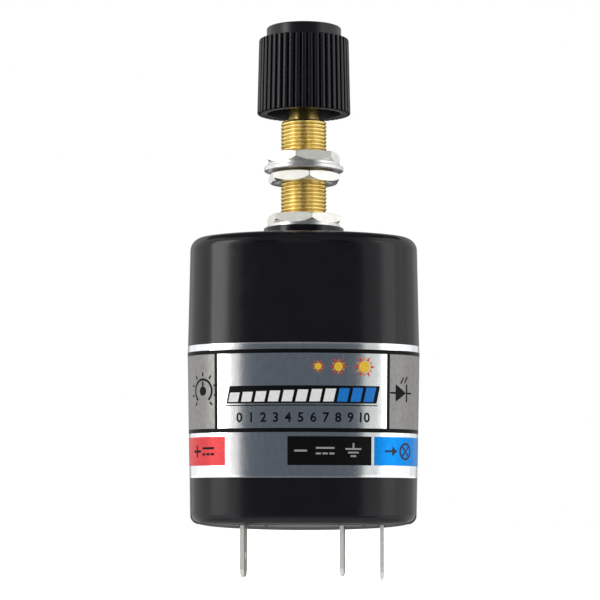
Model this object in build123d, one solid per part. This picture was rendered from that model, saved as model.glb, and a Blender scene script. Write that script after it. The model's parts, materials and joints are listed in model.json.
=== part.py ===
from build123d import *
import math
import os

os.makedirs("parts", exist_ok=True)

# ---------------------------------------------------------------- dimensions
# Millimetres. The origin is on the bushing axis, in the plane of the lower
# panel nut's top face, where the back of a panel seats. +Z runs to the knob,
# -Y is the side with the printed front, +X is to the right seen from there.

# case: oval in plan, drawn from four tangent arcs
CASE_HALF_X = 24.05        # half width at the joint of the two cups
CASE_HALF_Y = 14.43        # half depth at the joint
CASE_END_R = 10.80         # radius of the two narrow ends at the joint
Z_JOINT = -37.30           # joint between upper and lower cup
Z_TOP = -12.62             # crown of the upper cup's shallow domed top
Z_CEIL = -16.00            # ceiling inside the upper cup
Z_BOSS = -11.50            # top of the round boss
Z_RIM = -73.00             # bottom rim of the lower cup
UPPER_DRAFT = 1.10         # degrees
LOWER_DRAFT = 1.10         # degrees
WALL = 2.0
TOP_AX, TOP_AY, TOP_AZ = 26.0, 16.2, 2.2   # semi-axes of the domed top
TOP_EDGE_R = 2.8
RIM_EDGE_R = 1.9
BOSS_R = 8.35
SPIGOT_H = 3.0             # overlap of the two cups
SPIGOT_T = 0.95

# base plate with a shallow domed underside
BASE_TOP = -69.60
DOME_LOW = -74.20
DOME_AX, DOME_AY, DOME_AZ = 21.9, 12.04, 1.5
LEDGE_TOP, LEDGE_LOW, LEDGE_W = -68.35, -69.55, 1.40

# wrap label, in a shallow recess of the case so that it stands proud by little
LABEL_TOP, LABEL_LOW = -36.28, -63.55
LABEL_PROUD, LABEL_IN, RECESS = 0.06, -0.12, 0.14

# bushing, 3/8 in panel thread drawn at its major diameter
BUSH_R = 9.525 / 2
BUSH_TOP = 10.95
BUSH_BORE_R = 3.225
BUSH_FLANGE_R, BUSH_FLANGE_T = 6.2, 0.8
BUSH_TAIL_R = 4.0

# hexagon nuts and washers
NUT_AF = 13.80
NUT_T = 2.15
NUT_BORE_R = BUSH_R + 0.04
CHAMFER_R, CHAMFER_TOP, CHAMFER_LOW = 6.92, 0.42, 0.72   # cone radius, slopes
NUT_A_TURN, NUT_C_TURN, NUT_D_TURN = -12.4, 8.7, 12.9   # corner angles, degrees
WASHER_R, WASHER_T = 8.30, 0.95
LOCK_R, LOCK_T = 7.60, 0.60
FACE_GAP = 0.05            # between faces that slide on each other
LOOSE_GAP = 0.43           # the flat washer stands this far off the lower nut

# shaft and knob
SHAFT_R = 6.35 / 2
SHAFT_LOW, SHAFT_HIGH = -24.60, 24.20
FLAT_FROM, FLAT_Y = 14.9, 1.60
KNOB_LOW, KNOB_SHOULDER, KNOB_TOP = 12.55, 28.40, 30.95
KNOB_R_LOW, KNOB_R_HIGH = 9.78, 9.42
KNOB_CAP_R = 7.82
FLUTES, FLUTE_DEPTH, FLUTE_W = 44, 0.42, 0.60
SKIRT_BORE_R, SKIRT_CEILING = 7.80, 25.9
HUB_R, HUB_LOW = 5.1, 14.6
SPRING_T = 0.40

# potentiometer
POT_R = 8.50
PLATE_T = 1.0
CAN_LOW, CAN_WALL = -26.60, 0.5
WAFER_TOP, WAFER_T = -19.10, 1.2

# boards
BOARD_T = 1.6
VBOARD_Y = 3.0             # middle plane of the upright board
VBOARD_HALF_X, VBOARD_TOP = 17.5, -31.0

# blade terminals: x, y, lowest point, small turn about Z in degrees
BLADES = {
    "terminal_supply": (-12.21, -5.90, -83.65, -5.0),
    "terminal_ground": (7.93, -7.20, -83.45, -4.0),
    "terminal_lamp": (16.08, -4.00, -84.25, -1.9),
}
BLADE_W, BLADE_T, BLADE_NECK = 6.3, 0.8, 3.6

# ------------------------------------------------------------------- helpers
END_X = CASE_HALF_X - CASE_END_R
FRONT_R = (END_X ** 2 + CASE_HALF_Y ** 2 - CASE_END_R ** 2) / (
    2 * (CASE_HALF_Y - CASE_END_R))
FRONT_Y = FRONT_R - CASE_HALF_Y


def oval(off, z):
    """Four-arc oval face at height z, offset outwards by off."""
    n = math.hypot(END_X, FRONT_Y)
    ux, uy = END_X / n, FRONT_Y / n
    r = CASE_END_R + off
    tx, ty = END_X + r * ux, r * uy
    hx, hy = CASE_HALF_X + off, CASE_HALF_Y + off
    e = [
        Edge.make_three_point_arc((-tx, -ty, z), (0, -hy, z), (tx, -ty, z)),
        Edge.make_three_point_arc((tx, -ty, z), (hx, 0, z), (tx, ty, z)),
        Edge.make_three_point_arc((tx, ty, z), (0, hy, z), (-tx, ty, z)),
        Edge.make_three_point_arc((-tx, ty, z), (-hx, 0, z), (-tx, -ty, z)),
    ]
    return Face(Wire(e))


def prism(off, z0, z1, draft=0.0):
    """Oval prism from z0 to z1; draft makes it smaller towards z1."""
    d = (0, 0, 1) if z1 > z0 else (0, 0, -1)
    return extrude(oval(off, z0), amount=abs(z1 - z0), dir=d, taper=draft)


def cyl(r, z0, z1, x=0.0, y=0.0):
    return Pos(x, y, z0) * Cylinder(r, z1 - z0, align=(Align.CENTER, Align.CENTER, Align.MIN))


def block(x0, x1, y0, y1, z0, z1):
    return Pos((x0 + x1) / 2, (y0 + y1) / 2, (z0 + z1) / 2) * Box(x1 - x0, y1 - y0, z1 - z0)


def turned(points):
    """Solid of revolution about Z from (r, z) points."""
    return revolve(make_face(Polyline(*[(r, 0, z) for r, z in points], close=True)), Axis.Z)


def upper_off(z):
    return -(z - Z_JOINT) * math.tan(math.radians(UPPER_DRAFT))


def lower_off(z):
    return -(Z_JOINT - z) * math.tan(math.radians(LOWER_DRAFT))


def save(name, shape):
    export_step(shape, f"parts/{name}.step")


def group(solids):
    return Compound(children=[s.solid() if not isinstance(s, Solid) else s for s in solids])


# ---------------------------------------------------------------------- case
crown = Pos(0, 0, Z_TOP - TOP_AZ) * scale(Rot(90, 0, 0) * Sphere(1.0), by=(TOP_AX, TOP_AY, TOP_AZ))
upper = prism(0, Z_JOINT, Z_TOP + 0.5, UPPER_DRAFT) & (crown + block(-40, 40, -40, 40, Z_JOINT - 1, Z_TOP - TOP_AZ))
edge = [e for e in upper.edges() if Z_TOP - 2 < min(v.Z for v in e.vertices()) and max(v.Z for v in e.vertices()) < Z_TOP - 0.4]
upper = fillet(edge, TOP_EDGE_R)
boss = cyl(BOSS_R, Z_TOP - 1.5, Z_BOSS)
boss = fillet(boss.edges().group_by(Axis.Z)[-1], 0.30)
upper = upper + boss
upper -= prism(-WALL, Z_JOINT, Z_CEIL, UPPER_DRAFT)
upper -= prism(-WALL + SPIGOT_T + 0.05, Z_JOINT, Z_JOINT + SPIGOT_H + 0.1)
upper -= cyl(BUSH_R + 0.08, Z_TOP - 10, Z_BOSS + 1)
upper -= prism(2, Z_JOINT - 1, LABEL_TOP) - prism(-RECESS, Z_JOINT - 1, LABEL_TOP + 1, UPPER_DRAFT)
save("upper_case", upper)

lower = prism(0, Z_JOINT, Z_RIM, LOWER_DRAFT)
lower = fillet(lower.edges().group_by(Axis.Z)[0], RIM_EDGE_R)
lower += prism(-WALL + SPIGOT_T, Z_JOINT - 0.5, Z_JOINT + SPIGOT_H)
bore = prism(-WALL, Z_JOINT, Z_RIM - 1.0, LOWER_DRAFT) + prism(-WALL, Z_JOINT - 0.2, Z_JOINT + SPIGOT_H + 1)
ledge = prism(-WALL + 0.5, LEDGE_TOP, LEDGE_LOW) - prism(-WALL - LEDGE_W, LEDGE_TOP + 1, LEDGE_LOW - 1)
lower = lower - bore + ledge
lower -= prism(2, Z_JOINT, LABEL_LOW) - prism(-RECESS, Z_JOINT, LABEL_LOW - 1, LOWER_DRAFT)
save("lower_case", lower)

# base plate: plug inside the rim, dome below it, two small vent holes,
# a slot for each blade and two pillars for the board screws
SCREWS = [(-13.5, 4.6), (13.5, 4.6)]
off_base = lower_off(Z_RIM) - WALL - 0.06
dome = scale(Rot(90, 0, 0) * Sphere(1.0), by=(DOME_AX, DOME_AY, DOME_AZ))
dome = Pos(0, 0, DOME_LOW + DOME_AZ) * dome
plug = prism(off_base, DOME_LOW - 0.5, BASE_TOP)
base = plug & (dome + block(-30, 30, -20, 20, DOME_LOW + DOME_AZ, BASE_TOP + 1))
for x, y in SCREWS:
    base += cyl(2.4, BASE_TOP - 0.5, LEDGE_TOP, x, y)
    base -= cyl(1.02, -72.1, LEDGE_TOP + 1, x, y)
for x, y in [(-7.50, -10.20), (12.17, -8.75)]:
    base -= cyl(0.42, DOME_LOW - 1, DOME_LOW + 2.6, x, y)
for x, y, low, turn in BLADES.values():
    base -= Pos(x, y, -71.8) * Rot(0, 0, turn) * Box(BLADE_T + 0.30, BLADE_W + 0.30, 12)
save("base_plate", base)

# label: thin sleeve that covers the joint
LT, LL = LABEL_TOP - 0.02, LABEL_LOW + 0.02
lab = prism(LABEL_PROUD, Z_JOINT, LT, UPPER_DRAFT) + prism(LABEL_PROUD, Z_JOINT, LL, LOWER_DRAFT)
lab -= prism(LABEL_IN, Z_JOINT, LT + 1, UPPER_DRAFT) + prism(LABEL_IN, Z_JOINT, LL - 1, LOWER_DRAFT)
save("wrap_label", lab)

# ------------------------------------------------------------ bushing, nuts
FLANGE_TOP = Z_CEIL
FLANGE_LOW = FLANGE_TOP - BUSH_FLANGE_T
PLATE_LOW = FLANGE_LOW - PLATE_T
bush = turned([
    (BUSH_BORE_R, PLATE_LOW), (BUSH_TAIL_R, PLATE_LOW), (BUSH_TAIL_R, FLANGE_LOW),
    (BUSH_FLANGE_R, FLANGE_LOW), (BUSH_FLANGE_R, FLANGE_TOP), (BUSH_R, FLANGE_TOP),
    (BUSH_R, BUSH_TOP - 0.55), (BUSH_R - 0.55, BUSH_TOP), (BUSH_BORE_R + 0.25, BUSH_TOP),
    (BUSH_BORE_R, BUSH_TOP - 0.25)])
save("bushing", bush)


def hex_nut(z0, turn):
    """Hexagon jam nut, corners cut back by a cone at both faces."""
    z1 = z0 + NUT_T
    prism6 = Pos(0, 0, z0) * extrude(
        RegularPolygon(NUT_AF / 2, 6, major_radius=False, rotation=30 + turn), NUT_T)
    r1 = CHAMFER_R + 1.6
    low, top = z0 + 1.6 * CHAMFER_LOW, z1 - 1.6 * CHAMFER_TOP
    cone = turned([(0, z0), (CHAMFER_R, z0), (r1, low), (r1, top), (CHAMFER_R, z1), (0, z1)])
    hole = turned([(0, z0 - 1), (NUT_BORE_R + 0.45, z0 - 1), (NUT_BORE_R + 0.45, z0), (NUT_BORE_R, z0 + 0.45),
                   (NUT_BORE_R, z1 - 0.45), (NUT_BORE_R + 0.45, z1), (NUT_BORE_R + 0.45, z1 + 1), (0, z1 + 1)])
    return (prism6 & cone) - hole


def tooth_washer(z0):
    """Internal-tooth lock washer."""
    w = cyl(LOCK_R, z0, z0 + LOCK_T) - cyl(BUSH_R + 0.18, z0 - 1, z0 + LOCK_T + 1)
    slot = Pos(5.2, 0, z0 + LOCK_T / 2) * Box(1.7, 1.0, 3)
    return w - [Rot(0, 0, i * 36) * slot for i in range(10)]


z_lock_d = Z_BOSS
save("case_lock_washer", tooth_washer(z_lock_d))
save("case_nut", hex_nut(z_lock_d + LOCK_T, NUT_D_TURN))
save("panel_nut_lower", hex_nut(-NUT_T, NUT_C_TURN))
z_flat = LOOSE_GAP
flat = cyl(WASHER_R, z_flat, z_flat + WASHER_T) - cyl(BUSH_R + 0.20, -1, 3)
flat = fillet(flat.edges().filter_by(GeomType.CIRCLE).sort_by(lambda e: -e.radius)[:2], 0.25)
save("flat_washer", flat)
z_lock_a = z_flat + WASHER_T
save("panel_lock_washer", tooth_washer(z_lock_a))
z_nut_a = z_lock_a + LOCK_T + FACE_GAP
save("panel_nut_upper", hex_nut(z_nut_a, NUT_A_TURN))

# --------------------------------------------------------------- shaft, knob
CLIP_TOP = PLATE_LOW - 0.30
CLIP_T = 0.45
shaft = turned([
    (0, SHAFT_LOW), (SHAFT_R - 0.3, SHAFT_LOW), (SHAFT_R, SHAFT_LOW + 0.3),
    (SHAFT_R, CLIP_TOP - CLIP_T), (2.55, CLIP_TOP - CLIP_T), (2.55, CLIP_TOP), (SHAFT_R, CLIP_TOP),
    (SHAFT_R, SHAFT_HIGH - 0.5), (SHAFT_R - 0.5, SHAFT_HIGH), (0, SHAFT_HIGH)])
shaft -= block(-5, 5, FLAT_Y, 5, FLAT_FROM, SHAFT_HIGH + 1)
save("shaft", shaft)

clip = cyl(4.55, CLIP_TOP - CLIP_T, CLIP_TOP) - cyl(2.57, CLIP_TOP - 2, CLIP_TOP + 1)
clip -= block(-1.6, 1.6, -6, 0, CLIP_TOP - 2, CLIP_TOP + 1)
save("shaft_clip", clip)

knob = turned([
    (0, SKIRT_CEILING), (SKIRT_BORE_R - 0.25, SKIRT_CEILING), (SKIRT_BORE_R, KNOB_LOW),
    (KNOB_R_LOW - 0.15, KNOB_LOW), (KNOB_R_LOW, KNOB_LOW + 0.15), (KNOB_R_HIGH, KNOB_SHOULDER - 0.15),
    (KNOB_R_HIGH - 0.15, KNOB_SHOULDER), (KNOB_CAP_R, KNOB_SHOULDER), (KNOB_CAP_R, KNOB_TOP - 0.45),
    (KNOB_CAP_R - 0.45, KNOB_TOP), (0, KNOB_TOP)])
hub = cyl(HUB_R, HUB_LOW, SKIRT_CEILING + 0.5)
hub_bore = cyl(SHAFT_R + 0.02, HUB_LOW - 1, SHAFT_HIGH + 0.1)
hub_bore -= block(-5, 5, FLAT_Y + SPRING_T + 0.02, 5, FLAT_FROM + 0.1, SHAFT_HIGH + 2)
slope = (KNOB_R_HIGH - KNOB_R_LOW) / (KNOB_SHOULDER - KNOB_LOW)
g0 = KNOB_R_LOW - FLUTE_DEPTH - slope * 1.0
g1 = KNOB_R_HIGH - FLUTE_DEPTH + slope * 1.0
groove_face = make_face(Polyline((g0, 0, KNOB_LOW - 1), (12, 0, KNOB_LOW - 1),
                                 (12, 0, KNOB_SHOULDER + 1), (g1, 0, KNOB_SHOULDER + 1), close=True))
groove = extrude(groove_face, amount=FLUTE_W / 2, both=True)
knob = knob - [Rot(0, 0, (i + 0.5) * 360 / FLUTES) * groove for i in range(FLUTES)]
knob = knob + hub - hub_bore
save("knob", knob)

spring = block(-1.6, 1.6, FLAT_Y + 0.01, FLAT_Y + SPRING_T, FLAT_FROM + 0.3, SHAFT_HIGH - 0.8)
save("knob_spring", spring)

# ------------------------------------------------------------- potentiometer
plate = cyl(POT_R, PLATE_LOW, FLANGE_LOW) - cyl(BUSH_TAIL_R, PLATE_LOW - 1, FLANGE_LOW + 1)
save("pot_plate", plate)
can = cyl(POT_R, CAN_LOW, PLATE_LOW) - cyl(POT_R - CAN_WALL, CAN_LOW + CAN_WALL, PLATE_LOW + 1)
can -= block(-6.2, 6.2, 3, 12, WAFER_TOP - WAFER_T - 0.5, PLATE_LOW + 1)
save("pot_can", can)
wafer = cyl(POT_R - CAN_WALL - 0.05, WAFER_TOP - WAFER_T, WAFER_TOP) - cyl(3.6, WAFER_TOP - 5, WAFER_TOP + 1)
save("pot_wafer", wafer)
lugs = []
LUG_X = (-4.6, 0.0, 4.6)
for x in LUG_X:
    lug = block(x - 1.0, x + 1.0, 5.4, 9.8, WAFER_TOP, WAFER_TOP + 0.4)
    lug += block(x - 1.0, x + 1.0, 9.4, 9.8, WAFER_TOP - 5.2, WAFER_TOP + 0.4)
    lugs.append(lug)
save("pot_lugs", group(lugs))
ROTOR_TOP = WAFER_TOP - WAFER_T - 0.9
rotor = cyl(5.6, CAN_LOW + CAN_WALL + 0.5, ROTOR_TOP) - cyl(SHAFT_R, SHAFT_LOW, ROTOR_TOP + 1)
save("pot_rotor", rotor)
wiper = cyl(5.2, ROTOR_TOP, ROTOR_TOP + 0.25) - cyl(SHAFT_R + 0.05, ROTOR_TOP - 1, ROTOR_TOP + 1)
wiper += block(-0.7, 0.7, -6.9, -4.4, ROTOR_TOP, ROTOR_TOP + 0.25)
wiper += block(-0.7, 0.7, -6.9, -6.2, ROTOR_TOP, ROTOR_TOP + 0.55)
save("wiper_contact", wiper)

# -------------------------------------------------------------------- boards
HB_LOW, HB_TOP = LEDGE_TOP, LEDGE_TOP + BOARD_T
board = prism(lower_off(HB_LOW) - WALL - 0.25, HB_LOW, HB_TOP)
for x, y in SCREWS:
    board -= cyl(1.35, HB_LOW - 1, HB_TOP + 1, x, y)
for x, y, low, turn in BLADES.values():
    board -= Pos(x, y, HB_LOW) * Rot(0, 0, turn) * Box(BLADE_T + 0.16, BLADE_NECK + 0.16, 6)
TABS = (-7.0, 7.0)
for x in TABS:
    board -= block(x - 2.05, x + 2.05, VBOARD_Y - BOARD_T / 2 - 0.05, VBOARD_Y + BOARD_T / 2 + 0.05, HB_LOW - 1, HB_TOP + 1)
save("terminal_board", board)

screws = []
for x, y in SCREWS:
    s = cyl(1.0, -71.7, HB_TOP + 0.2, x, y) + cyl(2.0, HB_TOP, HB_TOP + 1.3, x, y)
    s -= Pos(x, y, HB_TOP + 1.3) * Box(2.2, 0.5, 1.0)
    s -= Pos(x, y, HB_TOP + 1.3) * Box(0.5, 2.2, 1.0)
    screws.append(s)
save("board_screws", group(screws))

FY = VBOARD_Y - BOARD_T / 2        # front face of the upright board
BY = VBOARD_Y + BOARD_T / 2        # back face
vboard = block(-VBOARD_HALF_X, VBOARD_HALF_X, FY, BY, HB_TOP + 1.6, VBOARD_TOP)
for x in TABS:
    vboard += block(x - 2.0, x + 2.0, FY, BY, HB_LOW + 0.2, HB_TOP + 2.0)
save("control_board", vboard)

# blades: shoulder under the terminal board, neck through it, bevelled tip
for name, (x, y, low, turn) in BLADES.items():
    top = HB_TOP + 1.2
    shoulder = LEDGE_LOW - 0.15
    hw, nw = BLADE_W / 2, BLADE_NECK / 2
    pts = [(0, -nw, top), (0, nw, top), (0, nw, shoulder), (0, hw, shoulder), (0, hw, low + 1.6),
           (0, hw - 1.2, low), (0, -hw + 1.2, low), (0, -hw, low + 1.6), (0, -hw, shoulder), (0, -nw, shoulder)]
    b = extrude(make_face(Polyline(*pts, close=True)), amount=BLADE_T / 2, both=True)
    for s in (1, -1):
        tip = make_face(Polyline((s * 0.24, 0, low - 0.01), (s * 2, 0, low - 0.01), (s * 2, 0, low + 0.7),
                                 (s * BLADE_T / 2, 0, low + 0.7), close=True))
        b -= extrude(tip, amount=6, both=True)
    b -= Pos(0, 0, low + 4.2) * Rot(0, 90, 0) * Cylinder(0.9, 4)
    b = Pos(x, y, 0) * Rot(0, 0, turn) * b
    save(name, b)

# --------------------------------------------- surface parts on upright board
tx, tz = -8.0, -50.0
tab = block(tx - 5.0, tx + 5.0, FY - 1.27, FY, tz + 2.0, tz + 7.6)
legs = [block(tx + d - 0.4, tx + d + 0.4, FY - 0.5, FY, tz - 9.0, tz - 4.6) for d in (-2.54, 2.54)]
save("transistor_leads", group([tab] + legs))
save("power_transistor", block(tx - 5.0, tx + 5.0, FY - 4.4, FY - 0.05, tz - 4.55, tz + 1.95))

ix, iz = 8.5, -54.0
save("timer_chip", block(ix - 1.95, ix + 1.95, FY - 1.55, FY - 0.15, iz - 2.45, iz + 2.45))
save("timer_pins", group([block(ix + s * 2.5 - 0.5, ix + s * 2.5 + 0.5, FY - 0.4, FY, iz + d - 0.2, iz + d + 0.2)
                          for s in (-1, 1) for d in (-1.905, -0.635, 0.635, 1.905)]))

cx, cz = 9.0, -41.5
cap = Pos(cx, FY, cz) * Rot(90, 0, 0) * Cylinder(4.0, 10.2, align=(Align.CENTER, Align.CENTER, Align.MIN))
cap += block(cx - 4.15, cx + 4.15, FY - 1.0, FY, cz - 4.15, cz + 4.15)
save("storage_capacitor", cap)

save("chip_resistors", group([block(x - 1.6, x + 1.6, FY - 0.6, FY, z - 0.8, z + 0.8)
                              for x, z in ((-12.5, -62.0), (-6.5, -62.0), (3.5, -61.0), (14.5, -61.0), (15.0, -54.0))]))
save("clamp_diode", block(-2.2, 2.2, FY - 2.1, FY, -39.3, -36.7))

# ------------------------------------------------------- leads pot to board
LEAD_R = 0.6
for name, x in zip(("lead_low", "lead_wiper", "lead_high"), LUG_X):
    yl = 9.8 + LEAD_R + 0.02
    yb = BY + LEAD_R + 0.02
    path = FilletPolyline((x, yl, WAFER_TOP - 2.6), (x, yl, -29.0), (x, yb, -36.5), (x, yb, -42.0), radius=4.0)
    sec = Plane(path @ 0, z_dir=path % 0) * Circle(LEAD_R)
    save(name, sweep(sec, path=path))
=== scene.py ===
import json
import math

import bmesh
import bpy
import numpy as np
from mathutils import Euler, Matrix


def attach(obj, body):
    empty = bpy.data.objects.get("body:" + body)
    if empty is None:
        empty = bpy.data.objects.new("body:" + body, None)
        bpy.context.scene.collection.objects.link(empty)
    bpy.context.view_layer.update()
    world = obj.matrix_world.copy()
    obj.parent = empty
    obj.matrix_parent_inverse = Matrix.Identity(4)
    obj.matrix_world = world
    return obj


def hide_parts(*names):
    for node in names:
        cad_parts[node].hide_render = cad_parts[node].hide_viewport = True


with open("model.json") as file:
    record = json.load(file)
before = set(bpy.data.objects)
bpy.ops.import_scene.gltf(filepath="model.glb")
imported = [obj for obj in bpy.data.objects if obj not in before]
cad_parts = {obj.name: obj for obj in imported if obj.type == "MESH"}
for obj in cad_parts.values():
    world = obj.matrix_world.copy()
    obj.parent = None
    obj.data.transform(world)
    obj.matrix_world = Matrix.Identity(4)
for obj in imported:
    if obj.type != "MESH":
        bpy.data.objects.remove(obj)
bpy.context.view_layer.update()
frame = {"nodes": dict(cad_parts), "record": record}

MM = 0.001
scene = bpy.context.scene
NODES = frame["nodes"]

# ------------------------------------------------------------------ dimensions
# Millimetres, the same frame as the solids: +Z to the knob, -Y the printed front.
CASE_HALF_X, CASE_HALF_Y, CASE_END_R = 24.05, 14.43, 10.80
Z_JOINT, UPPER_DRAFT, LOWER_DRAFT = -37.30, 1.10, 1.10
LABEL_TOP, LABEL_LOW = -36.30, -63.53
END_X = CASE_HALF_X - CASE_END_R
FRONT_R = (END_X ** 2 + CASE_HALF_Y ** 2 - CASE_END_R ** 2) / (2 * (CASE_HALF_Y - CASE_END_R))
FRONT_Y = FRONT_R - CASE_HALF_Y
PHI_J = math.atan2(END_X, FRONT_Y)      # where a front arc meets an end arc

BUSH_R, BUSH_TOP, BUSH_BORE_R = 9.525 / 2, 10.95, 3.225
PITCH, THREAD_DEPTH = 25.4 / 32, 0.25
NUT_AF, NUT_T, NUT_BORE_R = 13.80, 2.15, 9.525 / 2 + 0.04
CHAMFER_R, CHAMFER_TOP, CHAMFER_LOW = 6.92, 0.42, 0.72

KNOB_LOW, KNOB_SHOULDER, KNOB_TOP = 12.55, 28.40, 30.95
KNOB_R_LOW, KNOB_R_HIGH, KNOB_CAP_R = 9.78, 9.42, 7.82
FLUTES, FLUTE_DEPTH = 44, 0.42


# --------------------------------------------------------------------- shaders
class Mat:
    """A principled material with a few helpers for procedural detail."""

    def __init__(self, name, color, metallic=0.0, rough=0.4, ior=1.5):
        self.m = bpy.data.materials.new(name)
        self.m.use_nodes = True
        self.nt = self.m.node_tree
        self.bsdf = self.nt.nodes["Principled BSDF"]
        self.bsdf.inputs["Base Color"].default_value = (*color, 1)
        self.bsdf.inputs["Metallic"].default_value = metallic
        self.bsdf.inputs["Roughness"].default_value = rough
        self.bsdf.inputs["IOR"].default_value = ior
        self.coord = self.nt.nodes.new("ShaderNodeTexCoord")
        self.normal = None

    def link(self, a, b):
        self.nt.links.new(a, b)

    def mapping(self, scale=(1, 1, 1)):
        n = self.nt.nodes.new("ShaderNodeMapping")
        n.inputs["Scale"].default_value = scale
        self.link(self.coord.outputs["Object"], n.inputs["Vector"])
        return n.outputs["Vector"]

    def noise(self, scale, detail=3.0, rough=0.5, stretch=(1, 1, 1), distortion=0.0):
        n = self.nt.nodes.new("ShaderNodeTexNoise")
        n.inputs["Scale"].default_value = scale
        n.inputs["Detail"].default_value = detail
        n.inputs["Roughness"].default_value = rough
        n.inputs["Distortion"].default_value = distortion
        self.link(self.mapping(stretch), n.inputs["Vector"])
        return n.outputs["Fac"]

    def ramp(self, fac, stops):
        n = self.nt.nodes.new("ShaderNodeValToRGB")
        el = n.color_ramp.elements
        while len(el) < len(stops):
            el.new(0.5)
        for e, (p, c) in zip(el, stops):
            e.position = p
            e.color = (*c, 1) if len(c) == 3 else c
        self.link(fac, n.inputs["Fac"])
        return n.outputs["Color"]

    def remap(self, fac, lo, hi, a=0.25, b=0.75):
        n = self.nt.nodes.new("ShaderNodeMapRange")
        n.inputs["From Min"].default_value = a
        n.inputs["From Max"].default_value = b
        n.inputs["To Min"].default_value = lo
        n.inputs["To Max"].default_value = hi
        self.link(fac, n.inputs["Value"])
        return n.outputs["Result"]

    def math(self, op, a, b=None):
        n = self.nt.nodes.new("ShaderNodeMath")
        n.operation = op
        self.link(a, n.inputs[0])
        if b is not None:
            self.link(b, n.inputs[1])
        return n.outputs["Value"]

    def xyz(self):
        n = self.nt.nodes.new("ShaderNodeSeparateXYZ")
        self.link(self.coord.outputs["Object"], n.inputs["Vector"])
        return n.outputs["X"], n.outputs["Y"], n.outputs["Z"]

    def color(self, fac, stops):
        self.link(self.ramp(fac, stops), self.bsdf.inputs["Base Color"])

    def rough(self, fac, lo, hi):
        self.link(self.remap(fac, lo, hi), self.bsdf.inputs["Roughness"])

    def bump(self, fac, strength, distance):
        n = self.nt.nodes.new("ShaderNodeBump")
        n.inputs["Strength"].default_value = strength
        n.inputs["Distance"].default_value = distance
        self.link(fac, n.inputs["Height"])
        if self.normal is not None:
            self.link(self.normal, n.inputs["Normal"])
        self.normal = n.outputs["Normal"]
        self.link(self.normal, self.bsdf.inputs["Normal"])


def case_plastic():
    m = Mat("case_black", (0.0078, 0.0078, 0.0085), rough=0.17, ior=1.40)
    a = m.noise(260, 4, 0.6)
    m.color(a, [(0.3, (0.0064, 0.0055, 0.0084)), (0.7, (0.0086, 0.0077, 0.0106))])
    m.rough(m.noise(520, 4, 0.6), 0.14, 0.20)
    m.bump(m.noise(900, 2, 0.5), 0.06, 0.00006)
    m.bump(m.noise(6500, 2, 0.5), 0.10, 0.00001)
    return m.m


def base_plastic():
    m = Mat("base_grey", (0.055, 0.055, 0.058), rough=0.2)
    m.color(m.noise(400, 4, 0.6), [(0.3, (0.046, 0.046, 0.049)), (0.7, (0.064, 0.064, 0.067))])
    m.rough(m.noise(700, 4, 0.6), 0.16, 0.25)
    m.bump(m.noise(5000, 2, 0.5), 0.12, 0.000012)
    return m.m


def knob_plastic():
    m = Mat("knob_black", (0.0040, 0.0038, 0.0048), rough=0.28, ior=1.43)
    m.color(m.noise(420, 4, 0.6), [(0.3, (0.0020, 0.0017, 0.0045)), (0.7, (0.0036, 0.0031, 0.0067))])
    m.rough(m.noise(900, 4, 0.6), 0.24, 0.33)
    # painted shade: the shine drops with depth under the ridges, so the flute floors look shaded
    x, y, z = m.xyz()
    r = m.math("SQRT", m.math("ADD", m.math("MULTIPLY", x, x), m.math("MULTIPLY", y, y)))
    full = m.remap(z, KNOB_R_LOW * MM, KNOB_R_HIGH * MM, KNOB_LOW * MM, KNOB_SHOULDER * MM)
    depth = m.math("SUBTRACT", full, r)
    flute_shade_shine = m.math("MAXIMUM", m.remap(depth, 0.5, 0.04, 0.00004, 0.00020), m.remap(depth, 0.0, 0.5, 0.00055, 0.00080))
    m.link(flute_shade_shine, m.bsdf.inputs["Specular IOR Level"])
    m.bump(m.noise(5200, 2, 0.5), 0.14, 0.000012)
    return m.m


def brass():
    """Bright crests; the roots painted darker and redder as painted shade."""
    m = Mat("brass_turned", (0.90, 0.72, 0.27), metallic=1.0, rough=0.4)
    m.bsdf.inputs["Specular Tint"].default_value = (0.30, 0.27, 0.21, 1)
    x, y, z = m.xyz()
    r = m.math("SQRT", m.math("ADD", m.math("MULTIPLY", x, x), m.math("MULTIPLY", y, y)))
    grain = m.noise(700, 5, 0.62)
    # painted shade: the thread roots get a darker, redder colour than the crests
    root = m.ramp(grain, [(0.28, (0.58, 0.37, 0.11)), (0.75, (0.72, 0.51, 0.18))])
    crest = m.ramp(grain, [(0.28, (0.92, 0.69, 0.21)), (0.5, (0.97, 0.77, 0.28)), (0.75, (0.99, 0.84, 0.38))])
    mix = m.nt.nodes.new("ShaderNodeMix")
    mix.data_type = "RGBA"
    m.link(m.remap(r, 0.0, 1.0, (BUSH_R - 0.23) * MM, (BUSH_R - 0.10) * MM), mix.inputs["Factor"])
    m.link(root, mix.inputs["A"])
    m.link(crest, mix.inputs["B"])
    m.link(mix.outputs["Result"], m.bsdf.inputs["Base Color"])
    m.rough(m.noise(1500, 4, 0.6), 0.25, 0.35)
    m.bump(m.noise(2600, 2, 0.5, (0.25, 0.25, 4.0)), 0.10, 0.00001)
    return m.m


def drawn_brass():
    """The shaft: plain drawn rod, its colour painted darker as painted shade inside the knob hollow."""
    m = Mat("brass_shaft_shade", (0.46, 0.34, 0.11), metallic=1.0, rough=0.3)
    m.color(m.noise(500, 5, 0.65, (1, 1, 0.3)), [(0.28, (0.36, 0.25, 0.075)), (0.75, (0.54, 0.41, 0.15))])
    m.rough(m.noise(1200, 4, 0.6), 0.24, 0.34)
    m.bump(m.noise(2400, 2, 0.5, (3.0, 3.0, 0.2)), 0.08, 0.00001)
    return m.m


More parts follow.
